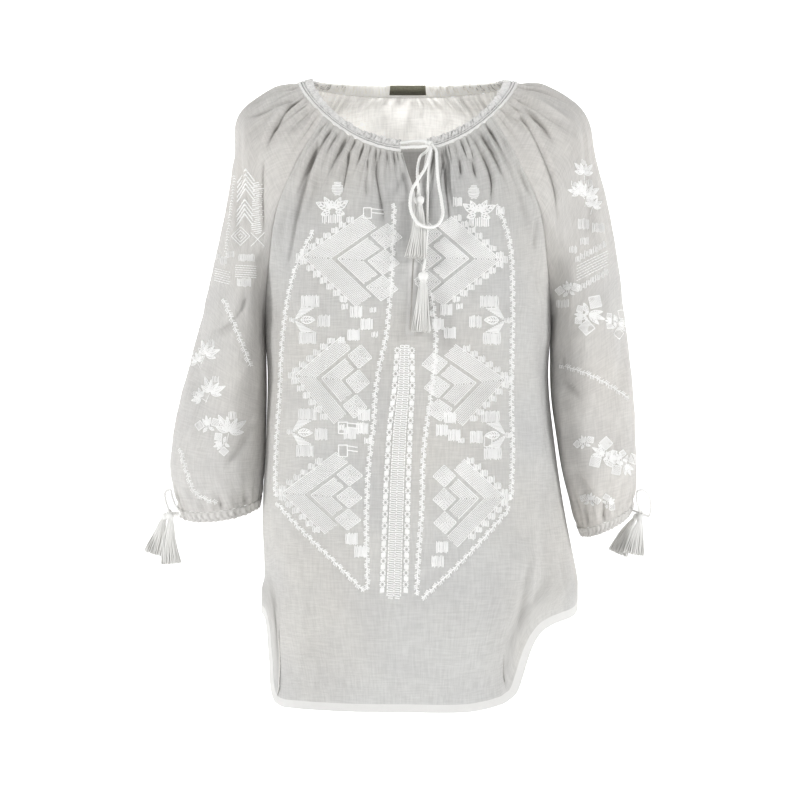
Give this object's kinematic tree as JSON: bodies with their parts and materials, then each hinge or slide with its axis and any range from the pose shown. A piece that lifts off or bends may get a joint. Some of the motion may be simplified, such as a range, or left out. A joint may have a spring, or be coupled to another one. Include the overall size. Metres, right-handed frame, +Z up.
{
  "type": "blouse",
  "caption": "Hollow peasant blouse of thin white cotton, filled out as worn, with a gathered tie neck, raglan three-quarter sleeves gathered at the cuffs and a curved shirt-tail hem.",
  "frame": {"origin": "middle of the neckline at the height of the shoulders, where the wearer holds the blouse up", "axes": "+X to the wearer's left, +Y to the back, +Z up"},
  "size_m": [0.5977, 0.2572, 0.7331],
  "materials": {
    "cotton": "thin plain-woven cotton, matt, slightly see-through, with raised white embroidery",
    "yarn": "twisted matt cotton cord and tassel yarn",
    "label_tape": "bare matt woven tape"
  },
  "bodies": {
    "root": {"back": "cotton", "cuff_left": "cotton", "cuff_left_tassel_inner": "yarn", "cuff_left_tassel_outer": "yarn", "cuff_left_tie_knot": "yarn", "cuff_left_tie_loop": "yarn", "cuff_left_tie_root": "yarn", "cuff_right": "cotton", "cuff_right_tassel_inner": "yarn", "cuff_right_tassel_outer": "yarn", "cuff_right_tie_knot": "yarn", "cuff_right_tie_loop": "yarn", "cuff_right_tie_root": "yarn", "front": "cotton", "label": "label_tape", "neck_casing": "cotton", "neck_tassel_long": "yarn", "neck_tassel_short": "yarn", "neck_tie_knot": "yarn", "neck_tie_long_end": "yarn", "neck_tie_loop": "yarn", "neck_tie_short_end": "yarn", "neck_tie_strand_lower": "yarn", "neck_tie_strand_upper": "yarn", "sleeve_left": "cotton", "sleeve_right": "cotton"}
  },
  "joints": []
}
